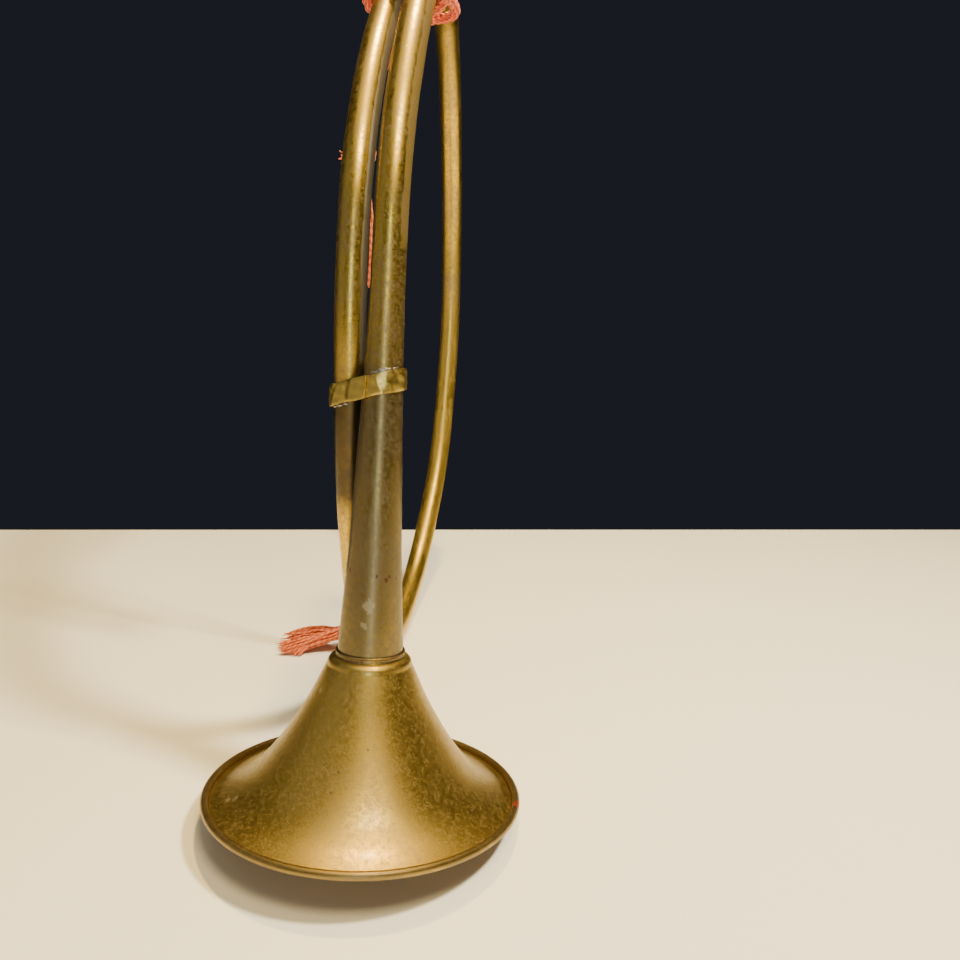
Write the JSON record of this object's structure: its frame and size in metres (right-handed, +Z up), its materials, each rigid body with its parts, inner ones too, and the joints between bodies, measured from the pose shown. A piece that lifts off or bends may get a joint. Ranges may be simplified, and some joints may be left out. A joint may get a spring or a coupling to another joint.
{
  "type": "hunting horn",
  "caption": "Valveless brass hunting horn standing on its bell, with one tall oval coil, a soldered strap, a pull-out mouthpiece and a cord with two tassels.",
  "frame": {"origin": "on the floor, under the centre of the horn's box without its cord", "axes": "+Z up, +Y from the bell towards the back of the coil, +X to the right seen from the bell's side"},
  "size_m": [0.1739, 0.4451, 0.5039],
  "materials": {
    "bell_brass": "aged satin",
    "tube_brass": "aged satin",
    "strap_brass": "hammered",
    "mouthpiece_brass": "satin",
    "solder": "dull",
    "rim_iron": "dull",
    "cord": "twisted yarn",
    "tassel": "loose yarn"
  },
  "bodies": {
    "horn": {"bell_flare": "bell_brass", "rim_wire": "rim_iron", "throat_ring": "bell_brass", "bell_stem": "tube_brass", "top_bow": "tube_brass", "bottom_bow": "tube_brass", "mouthpipe": "tube_brass", "stem_sleeve": "tube_brass", "back_sleeve": "tube_brass", "foot_sleeve": "tube_brass", "strap_band": "strap_brass", "strap_solder": "solder", "mouthpiece_receiver": "tube_brass", "cord_wrap": "cord", "cord_knot": "cord", "cord_short": "cord", "cord_long": "cord", "cord_bight": "cord", "hanging_tassel_head": "cord", "hanging_tassel_binding": "cord", "hanging_tassel_skirt": "tassel", "resting_tassel_head": "cord", "resting_tassel_binding": "cord", "resting_tassel_skirt": "tassel"},
    "mouthpiece": {"mouthpiece": "mouthpiece_brass"}
  },
  "joints": [
    {"name": "mouthpiece_pull", "type": "slide", "parent": "horn", "child": "mouthpiece", "axis": [0, 0.7556, 0.655], "range_m": [0, 0.03]}
  ]
}
